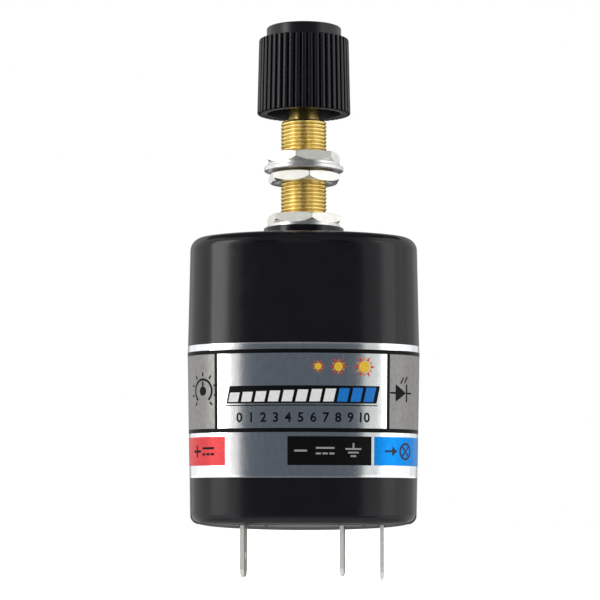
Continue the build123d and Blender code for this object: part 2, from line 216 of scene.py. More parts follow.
def nickel():
    m = Mat("nickel_plate", (0.82, 0.80, 0.75), metallic=1.0, rough=0.2)
    m.color(m.noise(500, 4, 0.6), [(0.3, (0.90, 0.88, 0.825)), (0.7, (0.98, 0.965, 0.92))])
    # the turned undersides and lower chamfers are smoother than the flats
    facing = m.nt.nodes.new("ShaderNodeSeparateXYZ")
    m.link(m.coord.outputs["Normal"], facing.inputs["Vector"])
    grain = m.remap(m.noise(1300, 4, 0.65), 0.44, 0.54)
    m.link(m.math("MULTIPLY", grain, m.remap(facing.outputs["Z"], 0.36, 1.0, -0.45, -0.20)), m.bsdf.inputs["Roughness"])
    m.bump(m.noise(900, 3, 0.5), 0.10, 0.00002)
    return m.m


def washer_steel():
    m = Mat("washer_steel", (0.74, 0.735, 0.72), metallic=1.0, rough=0.22)
    m.color(m.noise(600, 4, 0.6), [(0.3, (0.72, 0.715, 0.71)), (0.7, (0.87, 0.865, 0.85))])
    m.rough(m.noise(1500, 4, 0.6), 0.31, 0.40)
    m.bump(m.noise(3000, 2, 0.5, (1, 1, 3)), 0.10, 0.00001)
    return m.m


def foil():
    m = Mat("label_foil", (0.91, 0.92, 0.94), metallic=1.0, rough=0.08)
    m.color(m.noise(1500, 5, 0.75, (1, 1, 0.35)), [(0.3, (0.80, 0.815, 0.84)), (0.7, (0.96, 0.965, 0.98))])
    m.rough(m.noise(2600, 3, 0.6), 0.12, 0.20)
    m.bump(m.noise(95, 2, 0.5, (1, 1, 0.6)), 0.10, 0.0001)
    m.bump(m.noise(1300, 3, 0.6, (1, 1, 0.3)), 0.10, 0.00001)
    return m.m


def tint(name, color, spread=0.12, metallic=0.0, rough=(0.30, 0.40), scale=1800, ior=1.4):
    """A printed ink: even colour with a little grain."""
    m = Mat(name, color, metallic=metallic, rough=sum(rough) / 2, ior=ior)
    lo = tuple(c * (1 - spread) for c in color)
    hi = tuple(min(1, c * (1 + spread)) for c in color)
    m.color(m.noise(scale, 3, 0.6), [(0.3, lo), (0.7, hi)])
    m.rough(m.noise(scale * 1.3, 3, 0.6), *rough)
    return m.m


def panel_ink():
    m = Mat("print_panel", (0.25, 0.245, 0.235), metallic=0.8, rough=0.36)
    m.color(m.noise(2200, 4, 0.75, (1, 1, 0.4)), [(0.3, (0.20, 0.196, 0.188)), (0.7, (0.30, 0.294, 0.282))])
    m.rough(m.noise(1500, 3, 0.6), 0.32, 0.41)
    return m.m


def blade_tin():
    """Sheared edges in plain tin colour; the rolled flat faces, picked by a normal along X, painted much darker as
    painted shade.
    """
    m = Mat("tinned_blade", (0.85, 0.845, 0.80), metallic=0.4, rough=0.45)
    sep = m.nt.nodes.new("ShaderNodeSeparateXYZ")
    m.link(m.coord.outputs["Normal"], sep.inputs["Vector"])
    side = m.nt.nodes.new("ShaderNodeMath")
    side.operation = "ABSOLUTE"
    m.link(sep.outputs["X"], side.inputs[0])
    grain = m.noise(700, 5, 0.65)
    edge = m.ramp(grain, [(0.3, (0.68, 0.675, 0.635)), (0.7, (0.80, 0.795, 0.76))])
    # painted shade: the flat faces get a far darker colour than the edges
    face = m.ramp(grain, [(0.3, (0.25, 0.248, 0.235)), (0.7, (0.35, 0.348, 0.33))])
    mix = m.nt.nodes.new("ShaderNodeMix")
    mix.data_type = "RGBA"
    m.link(m.remap(side.outputs["Value"], 0.0, 1.0, 0.55, 0.85), mix.inputs["Factor"])
    m.link(edge, mix.inputs["A"])
    m.link(face, mix.inputs["B"])
    m.link(mix.outputs["Result"], m.bsdf.inputs["Base Color"])
    m.rough(m.noise(900, 4, 0.65), 0.40, 0.55)
    m.bump(m.noise(1600, 3, 0.6, (1, 1, 0.35)), 0.14, 0.00002)
    return m.m


def tinned(name, color, rough=(0.30, 0.44)):
    m = Mat(name, color, metallic=1.0, rough=sum(rough) / 2)
    m.color(m.noise(480, 5, 0.65), [(0.3, tuple(c * 0.80 for c in color)), (0.7, tuple(min(1, c * 1.12) for c in color))])
    m.rough(m.noise(900, 4, 0.65), *rough)
    m.bump(m.noise(1600, 3, 0.6, (1, 1, 0.35)), 0.16, 0.00002)
    return m.m


def laminate(name, dark, light, rough, scale=2500):
    m = Mat(name, light, rough=sum(rough) / 2)
    m.color(m.noise(scale, 4, 0.65), [(0.3, dark), (0.7, light)])
    m.rough(m.noise(scale * 0.6, 3, 0.6), *rough)
    m.bump(m.noise(scale * 2, 2, 0.5), 0.12, 0.00001)
    return m.m


M = {
    "case_black": case_plastic(),
    "base_grey": base_plastic(),
    "knob_black": knob_plastic(),
    "brass_turned": brass(),
    "brass_shaft_shade": drawn_brass(),
    "nickel_plate": nickel(),
    "washer_steel": washer_steel(),
    "label_foil": foil(),
    "tinned_blade": blade_tin(),
    "tinned_steel": tinned("tinned_steel", (0.60, 0.60, 0.595)),
    "phenolic": laminate("phenolic", (0.20, 0.10, 0.04), (0.33, 0.18, 0.08), (0.45, 0.6)),
    "rotor_plastic": laminate("rotor_plastic", (0.68, 0.66, 0.59), (0.78, 0.76, 0.69), (0.40, 0.5), 900),
    "board_green": laminate("board_green", (0.018, 0.14, 0.05), (0.035, 0.22, 0.085), (0.28, 0.4)),
    "chip_black": laminate("chip_black", (0.022, 0.022, 0.023), (0.036, 0.036, 0.037), (0.5, 0.62)),
    "capacitor_can": tinned("capacitor_can", (0.72, 0.73, 0.75), (0.22, 0.34)),
    "lead_black": laminate("lead_black", (0.014, 0.014, 0.014), (0.024, 0.024, 0.024), (0.34, 0.44), 900),
    "lead_white": laminate("lead_white", (0.72, 0.72, 0.70), (0.82, 0.82, 0.80), (0.34, 0.44), 900),
    "lead_red": laminate("lead_red", (0.50, 0.03, 0.02), (0.64, 0.05, 0.035), (0.34, 0.44), 900),
    "ink_black": tint("ink_black", (0.0045, 0.0045, 0.005), 0.25, 0.0, (0.30, 0.40), ior=1.2),
    "ink_red": tint("ink_red", (0.66, 0.050, 0.056), 0.10, 0.4, (0.30, 0.38)),
    "ink_blue": tint("ink_blue", (0.004, 0.24, 0.72), 0.10, 0.85, (0.22, 0.30)),
    "ink_azure": tint("ink_azure", (0.008, 0.19, 0.62), 0.10, 0.1, (0.26, 0.34)),
    "ink_navy": tint("ink_navy", (0.006, 0.016, 0.06), 0.12, 0.0, (0.34, 0.42)),
    "ink_grey": tint("ink_grey", (0.30, 0.31, 0.32), 0.08, 0.0, (0.34, 0.42)),
    "ink_white": tint("ink_white", (0.78, 0.78, 0.78), 0.06, 0.0, (0.34, 0.42)),
    "ink_orange": tint("ink_orange", (0.85, 0.25, 0.02), 0.10, 0.2, (0.34, 0.42)),
    "ink_yellow": tint("ink_yellow", (0.88, 0.56, 0.04), 0.10, 0.2, (0.34, 0.42)),
    "ink_flame": tint("ink_flame", (0.70, 0.05, 0.025), 0.10, 0.2, (0.34, 0.42)),
    "print_panel": panel_ink(),
}


# ---------------------------------------------------------------- mesh helpers
def add_mesh(name, verts, faces, body, mats, sharp=None, index=None, replaces=()):
    me = bpy.data.meshes.new(name)
    me.from_pydata((np.asarray(verts, float) * MM).tolist(), [], faces)
    for m in mats:
        me.materials.append(m)
    if index is not None:
        me.polygons.foreach_set("material_index", index)
    me.polygons.foreach_set("use_smooth", [True] * len(me.polygons))
    if sharp is not None:
        me.set_sharp_from_angle(angle=math.radians(sharp))
    me.update()
    ob = bpy.data.objects.new(name, me)
    scene.collection.objects.link(ob)
    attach(ob, body)
    if replaces:
        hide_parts(*replaces)
    return ob


def stack(rings, loop=False, cap_first=None, cap_last=None):
    """Quads between rings of equal length that run around Z; loop joins the
    last ring to the first, and a cap point closes an end."""
    n = len(rings[0])
    verts = [p for r in rings for p in r]
    faces = []
    pairs = [(i, i + 1) for i in range(len(rings) - 1)]
    if loop:
        pairs.append((len(rings) - 1, 0))
    for a, b in pairs:
        for j in range(n):
            k = (j + 1) % n
            faces.append((a * n + j, a * n + k, b * n + k, b * n + j))
    if cap_first is not None:
        c = len(verts)
        verts.append(cap_first)
        faces += [(c, (j + 1) % n, j) for j in range(n)]
    if cap_last is not None:
        c = len(verts)
        verts.append(cap_last)
        o = (len(rings) - 1) * n
        faces += [(c, o + j, o + (j + 1) % n) for j in range(n)]
    return verts, faces


def ring(radius, z, angles):
    """One ring; radius is a number or one number for each angle."""
    rr = np.broadcast_to(np.asarray(radius, float), angles.shape)
    zz = np.broadcast_to(np.asarray(z, float), angles.shape)
    return list(zip((rr * np.cos(angles)).tolist(), (rr * np.sin(angles)).tolist(), zz.tolist()))


def soft_min(a, b, k):
    """Smooth minimum, rounded over about k."""
    h = np.clip(0.5 + 0.5 * (b - a) / k, 0, 1)
    return b * (1 - h) + a * h - k * h * (1 - h)


# ------------------------------------------------------------- threaded bushing
def build_bushing():
    n = 96
    ang = np.arange(n) * 2 * math.pi / n

    def thread(z):
        ph = (z / PITCH - ang / (2 * math.pi)) % 1.0
        u = np.abs(ph - 0.5) * 2                      # 0 on the crest, 1 in the root
        g = np.clip((0.96 - u) / 0.84, 0, 1)
        g = 0.5 - 0.5 * np.cos(math.pi * g)           # rounded, as rolled
        r = BUSH_R - THREAD_DEPTH * (1 - g)
        return np.minimum(r, BUSH_R - max(0.0, z - (BUSH_TOP - 0.28)))

    rings = [ring(BUSH_BORE_R, -17.8, ang), ring(4.0, -17.8, ang), ring(4.0, -16.8, ang),
             ring(6.2, -16.8, ang), ring(6.2, -16.0, ang), ring(BUSH_R, -16.0, ang), ring(BUSH_R, -11.9, ang)]
    step = PITCH / 14
    zs = np.arange(-11.75, BUSH_TOP - step * 0.4, step)
    rings += [ring(thread(z), z, ang) for z in zs]
    rings += [ring(np.minimum(thread(BUSH_TOP - 1e-4), BUSH_R - 0.28), BUSH_TOP, ang),
              ring(BUSH_BORE_R + 0.25, BUSH_TOP, ang), ring(BUSH_BORE_R + 0.05, BUSH_TOP - 0.12, ang),
              ring(BUSH_BORE_R, BUSH_TOP - 0.30, ang)]
    v, f = stack(rings, loop=True)
    add_mesh("threaded_bushing", v, f, "housing", [M["brass_turned"]], 50, replaces=("bushing",))


# ---------------------------------------------------------------- hexagon nuts
def build_nut(name, z0, turn, body, node):
    n = 360
    ang = np.arange(n) * 2 * math.pi / n
    corner = math.radians(-90 + turn)
    rel = (ang - corner) % (math.pi / 3) - math.pi / 6
    hexr = NUT_AF / 2 / np.cos(rel)
    z1 = z0 + NUT_T

    def outer(z):
        d = min((z - z0) / CHAMFER_LOW, (z1 - z) / CHAMFER_TOP)
        return soft_min(hexr, np.full(n, CHAMFER_R + d), 0.10)

    rings = [ring(NUT_BORE_R, z0 + 0.45, ang), ring(NUT_BORE_R + 0.45, z0, ang), ring(outer(z0) - 0.35, z0, ang),
             ring(outer(z0) - 0.09, z0 + 0.004, ang), ring(outer(z0 + 0.03) - 0.035, z0 + 0.03, ang)]
    for z in np.linspace(z0 + 0.08, z1 - 0.08, 40):
        rings.append(ring(outer(z), z, ang))
    rings += [ring(outer(z1 - 0.03) - 0.035, z1 - 0.03, ang), ring(outer(z1) - 0.09, z1 - 0.004, ang),
              ring(outer(z1) - 0.35, z1, ang), ring(NUT_BORE_R + 0.45, z1, ang), ring(NUT_BORE_R, z1 - 0.45, ang)]
    v, f = stack(rings, loop=True)
    add_mesh(name, v, f, body, [M["nickel_plate"]], 50, replaces=(node,))


# ------------------------------------------------------------------------ knob
def build_knob():
    t = np.array([0, 0.1, 0.2, 0.26, 0.30, 0.34, 0.38, 0.42, 0.5, 0.58, 0.62, 0.66, 0.70, 0.74, 0.8, 0.9])
    cut = np.array([0, 0.006, 0.028, 0.06, 0.11, 0.22, 0.34, 0.40, 0.42, 0.40, 0.34, 0.22, 0.11, 0.06, 0.028, 0.006])
    ang = np.concatenate([(i + t) * 2 * math.pi / FLUTES for i in range(FLUTES)])
    cut = np.tile(cut, FLUTES)

    def body_r(z):
        return KNOB_R_LOW + (KNOB_R_HIGH - KNOB_R_LOW) * (z - KNOB_LOW) / (KNOB_SHOULDER - KNOB_LOW)

    rings = [ring(3.195, 24.3, ang), ring(3.195, 14.75, ang), ring(3.35, 14.6, ang), ring(4.95, 14.6, ang), ring(5.1, 14.75, ang),
             ring(5.1, 25.9, ang), ring(7.56, 25.9, ang), ring(7.80, 12.75, ang), ring(7.83, 12.60, ang), ring(7.92, 12.55, ang)]
    for d, z in ((0.26, KNOB_LOW), (0.12, KNOB_LOW + 0.04), (0.035, KNOB_LOW + 0.12), (0.0, KNOB_LOW + 0.26)):
        rings.append(ring(np.maximum(body_r(z) - d - cut, 9.0), z, ang))
    for z in np.linspace(KNOB_LOW + 0.8, KNOB_SHOULDER - 0.8, 9):
        rings.append(ring(body_r(z) - cut, z, ang))
    for d, z in ((0.0, KNOB_SHOULDER - 0.30), (0.045, KNOB_SHOULDER - 0.13), (0.14, KNOB_SHOULDER - 0.04), (0.30, KNOB_SHOULDER)):
        rings.append(ring(np.maximum(body_r(z) - d - cut, 8.4), z, ang))
    rings += [ring(8.2, KNOB_SHOULDER, ang), ring(KNOB_CAP_R + 0.12, KNOB_SHOULDER, ang), ring(KNOB_CAP_R + 0.02, KNOB_SHOULDER + 0.03, ang),
              ring(KNOB_CAP_R, KNOB_SHOULDER + 0.14, ang)]
    for a in range(0, 91, 15):
        c, s = math.cos(math.radians(a)), math.sin(math.radians(a))
        rings.append(ring(KNOB_CAP_R - 0.42 * (1 - c), KNOB_TOP - 0.42 * (1 - s), ang))
    rings += [ring(6.4, KNOB_TOP, ang), ring(6.25, KNOB_TOP - 0.02, ang), ring(6.1, KNOB_TOP - 0.10, ang), ring(3.0, KNOB_TOP - 0.16, ang), ring(0.6, KNOB_TOP - 0.18, ang)]
    v, f = stack(rings, cap_first=(0, 0, 24.3), cap_last=(0, 0, KNOB_TOP - 0.18))
    add_mesh("fluted_knob", v, f, "knob", [M["knob_black"]], 50, replaces=("knob",))


# ----------------------------------------------------------------------- label
FOIL_OFF, INK_OFF = 0.028, 0.046        # outer faces of foil and ink, from the plastic
S_J = (FRONT_R + FOIL_OFF) * PHI_J
S_E = S_J + (CASE_END_R + FOIL_OFF) * (math.pi - 2 * PHI_J)
S_HALF = S_E + (FRONT_R + FOIL_OFF) * PHI_J          # half way round, at the back


def normal_angle(s):
    """Angle of the outward normal from -Y, at arc length s from the front middle."""
    a = abs(s)
    if a <= S_J:
        p = a / (FRONT_R + FOIL_OFF)
    elif a <= S_E:
        p = PHI_J + (a - S_J) / (CASE_END_R + FOIL_OFF)
    else:
        p = math.pi - PHI_J + (a - S_E) / (FRONT_R + FOIL_OFF)
    return math.copysign(p, s)


def wrap(s, z, off):
    """A point on the case's side, off outside the plastic."""
    o = off - (z - Z_JOINT) * math.tan(math.radians(UPPER_DRAFT)) if z > Z_JOINT else off - (Z_JOINT - z) * math.tan(math.radians(LOWER_DRAFT))
    p = normal_angle(s)
    a = abs(p)
    sg = 1 if s >= 0 else -1
    if a <= PHI_J:
        x, y = (FRONT_R + o) * math.sin(a), FRONT_Y - (FRONT_R + o) * math.cos(a)
    elif a <= math.pi - PHI_J:
        x, y = END_X + (CASE_END_R + o) * math.sin(a), -(CASE_END_R + o) * math.cos(a)
    else:
        x, y = (FRONT_R + o) * math.sin(a), -FRONT_Y - (FRONT_R + o) * math.cos(a)
    return sg * x, y, z


def arc(x):
    """Arc length on the label whose point lies at x, for the front half."""
    a = abs(x)
    xj = (FRONT_R + FOIL_OFF) * math.sin(PHI_J)
    if a <= xj:
        s = (FRONT_R + FOIL_OFF) * math.asin(a / (FRONT_R + FOIL_OFF))
    else:
        s = S_J + (CASE_END_R + FOIL_OFF) * (math.asin(min(1, (a - END_X) / (CASE_END_R + FOIL_OFF))) - PHI_J)
    return math.copysign(s, x)


def build_foil():
    """The sleeve, with its ends lapped at the back."""
    cols = 420
    ss = np.linspace(-S_HALF, S_HALF, cols)
    lap = np.where(ss > S_HALF - 5.0, 0.026, 0.0)
    lap = np.where((ss > S_HALF - 6.2) & (ss <= S_HALF - 5.0), 0.026 * (ss - S_HALF + 6.2) / 1.2, lap)
    rows = [(LABEL_TOP - 0.02, -0.115)] + [(LABEL_TOP - d, FOIL_OFF - e) for d, e in ((0.0, 0.115), (0.0, 0.03), (0.02, 0.008), (0.06, 0.0))]
    rows += [(z, FOIL_OFF) for z in np.linspace(LABEL_TOP - 0.6, Z_JOINT + 0.01, 3)]
    rows += [(z, FOIL_OFF) for z in np.linspace(Z_JOINT - 0.01, LABEL_LOW + 0.6, 22)]
    rows += [(LABEL_LOW + d, FOIL_OFF - e) for d, e in ((0.06, 0.0), (0.02, 0.008), (0.0, 0.03), (0.0, 0.115))] + [(LABEL_LOW + 0.02, -0.115)]
    verts, faces = [], []
    for z, off in rows:
        for s, l in zip(ss, lap):
            verts.append(wrap(float(s), float(z), off + (l if off > 0 else 0)))
    nr = len(rows)
    for i in range(nr):
        k = (i + 1) % nr
        for j in range(cols):
            c = (j + 1) % cols
            faces.append((i * cols + j, k * cols + j, k * cols + c, i * cols + c))
    add_mesh("foil_sleeve", verts, faces, "housing", [M["label_foil"]], 40, replaces=("wrap_label",))


def fine(v, f, step=0.6):
    """The same flat mesh with no edge longer than step, so that it can bend."""
    bm = bmesh.new()
    vs = [bm.verts.new((s, z, 0)) for s, z in v]
    for q in f:
        bm.faces.new([vs[i] for i in q])
    bmesh.ops.triangulate(bm, faces=bm.faces[:])
    for _ in range(8):
        long = [e for e in bm.edges if e.calc_length() > step]
        if not long:
            break
        bmesh.ops.subdivide_edges(bm, edges=long, cuts=1)
        bmesh.ops.triangulate(bm, faces=bm.faces[:])
    bm.verts.index_update()
    out = [(p.co.x, p.co.y) for p in bm.verts], [tuple(p.index for p in q.verts) for q in bm.faces]
    bm.free()
    return out


def slab(flat_verts, flat_faces, top=INK_OFF, low=FOIL_OFF - 0.02):
    """A thin closed skin on the label from a flat (s, z) mesh."""
    n = len(flat_verts)
    verts = [wrap(s, z, top) for s, z in flat_verts] + [wrap(s, z, low) for s, z in flat_verts]
    faces = [tuple(f) for f in flat_faces] + [tuple(n + i for i in reversed(f)) for f in flat_faces]
    edges = {}
    for f in flat_faces:
        for a, b in zip(f, list(f[1:]) + [f[0]]):
            edges[(a, b)] = edges.get((a, b), 0) + 1
    for a, b in edges:
        if (b, a) not in edges:
            faces.append((b, a, n + a, n + b))
    return verts, faces


def rect(s0, s1, z0, z1, step=1.0):
    """Flat grid between two arc lengths and two heights, front face outwards."""
    nx = max(1, int(math.ceil((s1 - s0) / step)))
    nz = max(1, int(math.ceil((z1 - z0) / 6.0)))
    v = [(s0 + (s1 - s0) * i / nx, z0 + (z1 - z0) * k / nz) for k in range(nz + 1) for i in range(nx + 1)]
    f = [(k * (nx + 1) + i, k * (nx + 1) + i + 1, (k + 1) * (nx + 1) + i + 1, (k + 1) * (nx + 1) + i) for k in range(nz) for i in range(nx)]
    return v, f


def poly(points):
    """Flat convex polygon, counter-clockwise."""
    return list(points), [tuple(range(len(points)))]


def disc(s, z, r, n=32):
    return poly([(s + r * math.cos(2 * math.pi * i / n), z + r * math.sin(2 * math.pi * i / n)) for i in range(n)])


def annulus(s, z, r0, r1, a0=0.0, a1=360.0, n=48):
    """Flat ring or arc band between two radii; angles in degrees."""
    full = a1 - a0 >= 360
    m = n if full else n + 1
    aa = [math.radians(a0 + (a1 - a0) * i / n) for i in range(m)]
    v = [(s + r0 * math.cos(a), z + r0 * math.sin(a)) for a in aa] + [(s + r1 * math.cos(a), z + r1 * math.sin(a)) for a in aa]
    f = []
    for i in range(n):
        k = (i + 1) % m
        f.append((i, m + i, m + k, k))
    return v, f


def bar(s0, z0, s1, z1, w):
    """Flat straight stroke of width w."""
    dx, dz = s1 - s0, z1 - z0
    ln = math.hypot(dx, dz)
    nx, nz = -dz / ln * w / 2, dx / ln * w / 2
    return poly([(s0 - nx, z0 - nz), (s1 - nx, z1 - nz), (s1 + nx, z1 + nz), (s0 + nx, z0 + nz)])


def digits(text, s, z, height):
    """Flat mesh of plain scale figures, centred on s with their foot at z."""
    cu = bpy.data.curves.new("figures", "FONT")
    cu.body = text
    cu.align_x = "CENTER"
    cu.size = height / 0.69
    cu.offset = 0.035 * height
    cu.resolution_u = 3
    ob = bpy.data.objects.new("figures", cu)
    scene.collection.objects.link(ob)
    bpy.context.view_layer.update()
    me = bpy.data.meshes.new_from_object(ob.evaluated_get(bpy.context.evaluated_depsgraph_get()))
    v = [(s + p.co.x, z + p.co.y) for p in me.vertices]
    f = []
    for p in me.polygons:
        idx = list(p.vertices)
        area = sum(v[idx[i]][0] * v[idx[(i + 1) % len(idx)]][1] - v[idx[(i + 1) % len(idx)]][0] * v[idx[i]][1] for i in range(len(idx)))
        f.append(tuple(idx if area > 0 else reversed(idx)))
    bpy.data.objects.remove(ob)
    bpy.data.curves.remove(cu)
    bpy.data.meshes.remove(me)
    return v, f


def print_piece(name, parts, ink, top=INK_OFF, low=None):
    verts, faces = [], []
    for v, f in parts:
        v, f = fine(v, f)
        a, b = slab(v, f, top, FOIL_OFF - 0.02 if low is None else low)
        o = len(verts)
        verts += a
        faces += [tuple(i + o for i in q) for q in b]
    add_mesh(name, verts, faces, "housing", [M[ink]], 30)


Z_LINE1, Z_LINE2, LINE_W, LINE_V = -38.05, -54.03, 0.82, 0.66
S_L, S_R = arc(-17.9), arc(17.3)
Z_BOX1, Z_BOX0 = -55.28, -61.10


def direct_sign(s, z, half, w):
    """Direct-current sign: a solid stroke over three dashes."""
    d = half * 2 / 11
    out = [rect(s - half, s + half, z + 0.38, z + 0.38 + w)]
    return out + [rect(s - half + 4 * d * i, s - half + 4 * d * i + 3 * d, z - 0.38 - w, z - 0.38) for i in range(3)]


def build_print():
    end = 45.0
    h, v = LINE_W / 2, LINE_V / 2
    lo, hi = Z_LINE2 + h, Z_LINE1 - h
    # frame lines and the two side panels
    print_piece("print_lines", [
        rect(-end, end, Z_LINE1 - h, Z_LINE1 + h), rect(-end, end, Z_LINE2 - h, Z_LINE2 + h),
        rect(S_L - v, S_L + v, lo, hi), rect(S_R - v, S_R + v, lo, hi),
        rect(-end, -end + 2 * v, lo, hi), rect(end - 2 * v, end, lo, hi)], "ink_black")
    print_piece("print_side_panels", [rect(-end + 2 * v, S_L - v, lo, hi), rect(S_R + v, end - 2 * v, lo, hi)], "print_panel", INK_OFF - 0.004)
    # terminal fields
    print_piece("print_red_field", [rect(arc(-16.1) - 17.0, arc(-16.1), Z_BOX0, Z_BOX1)], "ink_red")
    print_piece("print_black_field", [rect(arc(-3.3), arc(13.88), Z_BOX0, Z_BOX1)], "ink_black")
    print_piece("print_blue_field", [rect(arc(14.45), arc(14.45) + 17.0, Z_BOX0, Z_BOX1)], "ink_blue")
    zm = (Z_BOX0 + Z_BOX1) / 2
    up, dn = INK_OFF + 0.011, INK_OFF - 0.015
    s = arc(-18.4)
    q = s - 4.9
    print_piece("print_plus", direct_sign(s - 1.55, zm, 1.55, 0.46) + [
        rect(q - 1.25, q + 1.25, zm - 0.24, zm + 0.24), rect(q - 0.24, q + 0.24, zm + 0.24, zm + 1.25),
        rect(q - 0.24, q + 0.24, zm - 1.25, zm - 0.24)], "ink_black", up, dn)
    s = 10.3
    print_piece("print_minus", [rect(-1.9, 0.7, zm - 0.19, zm + 0.19)] + direct_sign(4.4, zm, 1.9, 0.36) + [
        rect(s - 0.18, s + 0.18, zm + 0.55, zm + 1.55), rect(s - 1.7, s + 1.7, zm + 0.20, zm + 0.55),
        rect(s - 1.15, s + 1.15, zm - 0.52, zm - 0.17), rect(s - 0.6, s + 0.6, zm - 1.24, zm - 0.89)], "ink_grey", up, dn)
    s = arc(16.7)
    q = s + 5.3
    d = 1.35 * math.sqrt(0.5)
    print_piece("print_lamp_mark", [
        rect(s, s + 1.7, zm - 0.21, zm + 0.21), poly([(s + 1.7, zm - 1.0), (s + 3.0, zm), (s + 1.7, zm + 1.0)]),
        annulus(q, zm, 1.35, 1.78), bar(q - d, zm - d, q + d, zm + d, 0.38),
        bar(q - d, zm + d, q - 0.19, zm + 0.19, 0.38), bar(q + 0.19, zm - 0.19, q + d, zm - d, 0.38)], "ink_navy", up, dn)
    # brightness steps: slanted bars that grow to the right, in a dark window
    n, s0, s1, zb, zt, k = 11, -16.3, 15.3, -48.60, -45.05, 0.22
    w = (s1 - s0 - 0.5) / n
    white, blue = [], []
    for i in range(n):
        top = zb + 0.32 + 1.90 + 1.00 * i / (n - 1)
        a, b, low = s0 + 0.45 + i * w, s0 + 0.45 + i * w + w * 0.76, zb + 0.32
        (white if i < 8 else blue).append(poly([(a, low), (b, low), (b + k * (top - low), top), (a + k * (top - low), top)]))
    print_piece("print_steps_window", [poly([(s0, zb), (s1, zb), (s1 + k * (zt - zb), zt), (s0 + k * (zt - zb), zt)])], "ink_black")
    print_piece("print_steps_low", white, "ink_white", up, dn)
    print_piece("print_steps_high", blue, "ink_azure", up, dn)
    # base line and scale figures
    parts = [rect(s0 - 0.3, s1 + 0.2, zb - 0.52, zb - 0.32)]
    for i in range(11):
        parts.append(digits(str(i), -13.4 + 2.56 * i + (0.3 if i == 10 else 0), -52.35, 1.85))
    print_piece("print_scale", parts, "ink_black")
    # small to large sun marks
    disc_y, ray_o, ray_r = [], [], []
    for s, r in ((2.9, 0.70), (7.1, 0.92), (12.6, 1.17)):
        z = -41.20
        disc_y.append(disc(s, z, r))
        for i in range(12):
            a = 2 * math.pi * i / 12
            r0, r1 = r * 1.16, r * (2.02 if i % 2 == 0 else 1.72)
            wd = r * 0.27
            c, sn = math.cos(a), math.sin(a)
            q = [(s + r0 * c + wd * sn, z + r0 * sn - wd * c), (s + r1 * c, z + r1 * sn), (s + r0 * c - wd * sn, z + r0 * sn + wd * c)]
            (ray_o if i % 2 == 0 else ray_r).append(poly(q))
    print_piece("print_sun_discs", disc_y, "ink_yellow")
    print_piece("print_sun_rays_long", ray_o, "ink_flame")
    print_piece("print_sun_rays_short", ray_r, "ink_orange")
    # side marks: a dial with its ticks and a lamp diode
    s, z = arc(-20.7), -45.9
    dial = [annulus(s, z, 2.15, 2.62, -50, 230), disc(s, z, 0.95), bar(s, z + 0.9, s, z + 2.0, 0.42)]
    for i in range(9):
        c, sn = math.cos(math.radians(-50 + 35 * i)), math.sin(math.radians(-50 + 35 * i))
        dial.append(bar(s + 3.0 * c, z + 3.0 * sn, s + 3.8 * c, z + 3.8 * sn, 0.38))
    print_piece("print_dial_mark", dial, "ink_black")
    s, z = arc(20.2), -46.3
    print_piece("print_diode_mark", [
        poly([(s - 1.7, z - 1.8), (s + 1.1, z), (s - 1.7, z + 1.8)]), rect(s + 1.1, s + 1.55, z - 1.8, z + 1.8),
        rect(s - 3.0, s - 1.7, z - 0.19, z + 0.19), rect(s + 1.55, s + 2.9, z - 0.19, z + 0.19),
        bar(s - 0.4, z + 1.9, s + 0.4, z + 3.2, 0.34), bar(s + 0.7, z + 2.1, s + 1.5, z + 3.4, 0.34)], "ink_black")


build_bushing()
build_nut("upper_panel_nut", 2.03, -12.4, "upper_nut", "panel_nut_upper")
build_nut("lower_panel_nut", -2.15, 8.7, "lower_nut", "panel_nut_lower")
build_nut("case_top_nut", -10.90, 12.9, "housing", "case_nut")
build_knob()
build_foil()
build_print()

# ------------------------------------------------ finish of the carried-over nodes
slot_of = {p["node"]: p["material_slot"] for p in frame["record"]["subparts"]}
for name, ob in NODES.items():
    mat = M[slot_of[name]]
    ob.data.materials.clear()
    # the shaft takes the darker brass: painted shade inside the knob hollow
    ob.data.materials.append(M["brass_shaft_shade"] if name == "shaft" else mat)
for name in ("terminal_supply", "terminal_ground", "terminal_lamp"):
    b = NODES[name].modifiers.new("edge", "BEVEL")
    b.width, b.segments, b.limit_method, b.angle_limit = 0.00005, 2, "ANGLE", math.radians(40)
for name in ("case_lock_washer", "panel_lock_washer"):
    b = NODES[name].modifiers.new("edge", "BEVEL")
    b.width, b.segments, b.limit_method, b.angle_limit = 0.00008, 2, "ANGLE", math.radians(40)


# ----------------------------------------------------------------------- stage
def emitter(name, color, strength):
    m = bpy.data.materials.new(name)
    m.use_nodes = True
    nt = m.node_tree
    nt.nodes.remove(nt.nodes["Principled BSDF"])
    e = nt.nodes.new("ShaderNodeEmission")
    e.inputs["Color"].default_value = (*color, 1)
    e.inputs["Strength"].default_value = strength
    nt.links.new(e.outputs["Emission"], nt.nodes["Material Output"].inputs["Surface"])
    return m


def panel(name, az0, az1, el0, el1, color, strength=1.0, radius=1.6):
    """Curved studio panel around the object; azimuth 0 is behind the camera,
    positive to its right. It lights and reflects but isn't in the picture."""
    na, ne = max(2, round((az1 - az0) / 4)), max(2, round((el1 - el0) / 5))
    vs, fs = [], []
    for k in range(ne + 1):
        e = math.radians(el0 + (el1 - el0) * k / ne)
        for i in range(na + 1):
            a = math.radians(az0 + (az1 - az0) * i / na)
            vs.append((radius * math.cos(e) * math.sin(a), -radius * math.cos(e) * math.cos(a), radius * math.sin(e) - 0.03))
    for k in range(ne):
        for i in range(na):
            o = k * (na + 1) + i
            fs.append((o, o + 1, o + na + 2, o + na + 1))
    return studio(name, vs, fs, color, strength)


def card(name, az0, az1, z0, z1, color, strength, radius=0.075):
    """Small bent reflector close to the thread, seen only in the reflections."""
    n = 8
    vs, fs = [], []
    for i in range(n + 1):
        a = math.radians(az0 + (az1 - az0) * i / n)
        for z in (z0, z1):
            vs.append((radius * math.sin(a), -radius * math.cos(a), z * MM))
    for i in range(n):
        fs.append((2 * i, 2 * i + 2, 2 * i + 3, 2 * i + 1))
    return studio(name, vs, fs, color, strength)


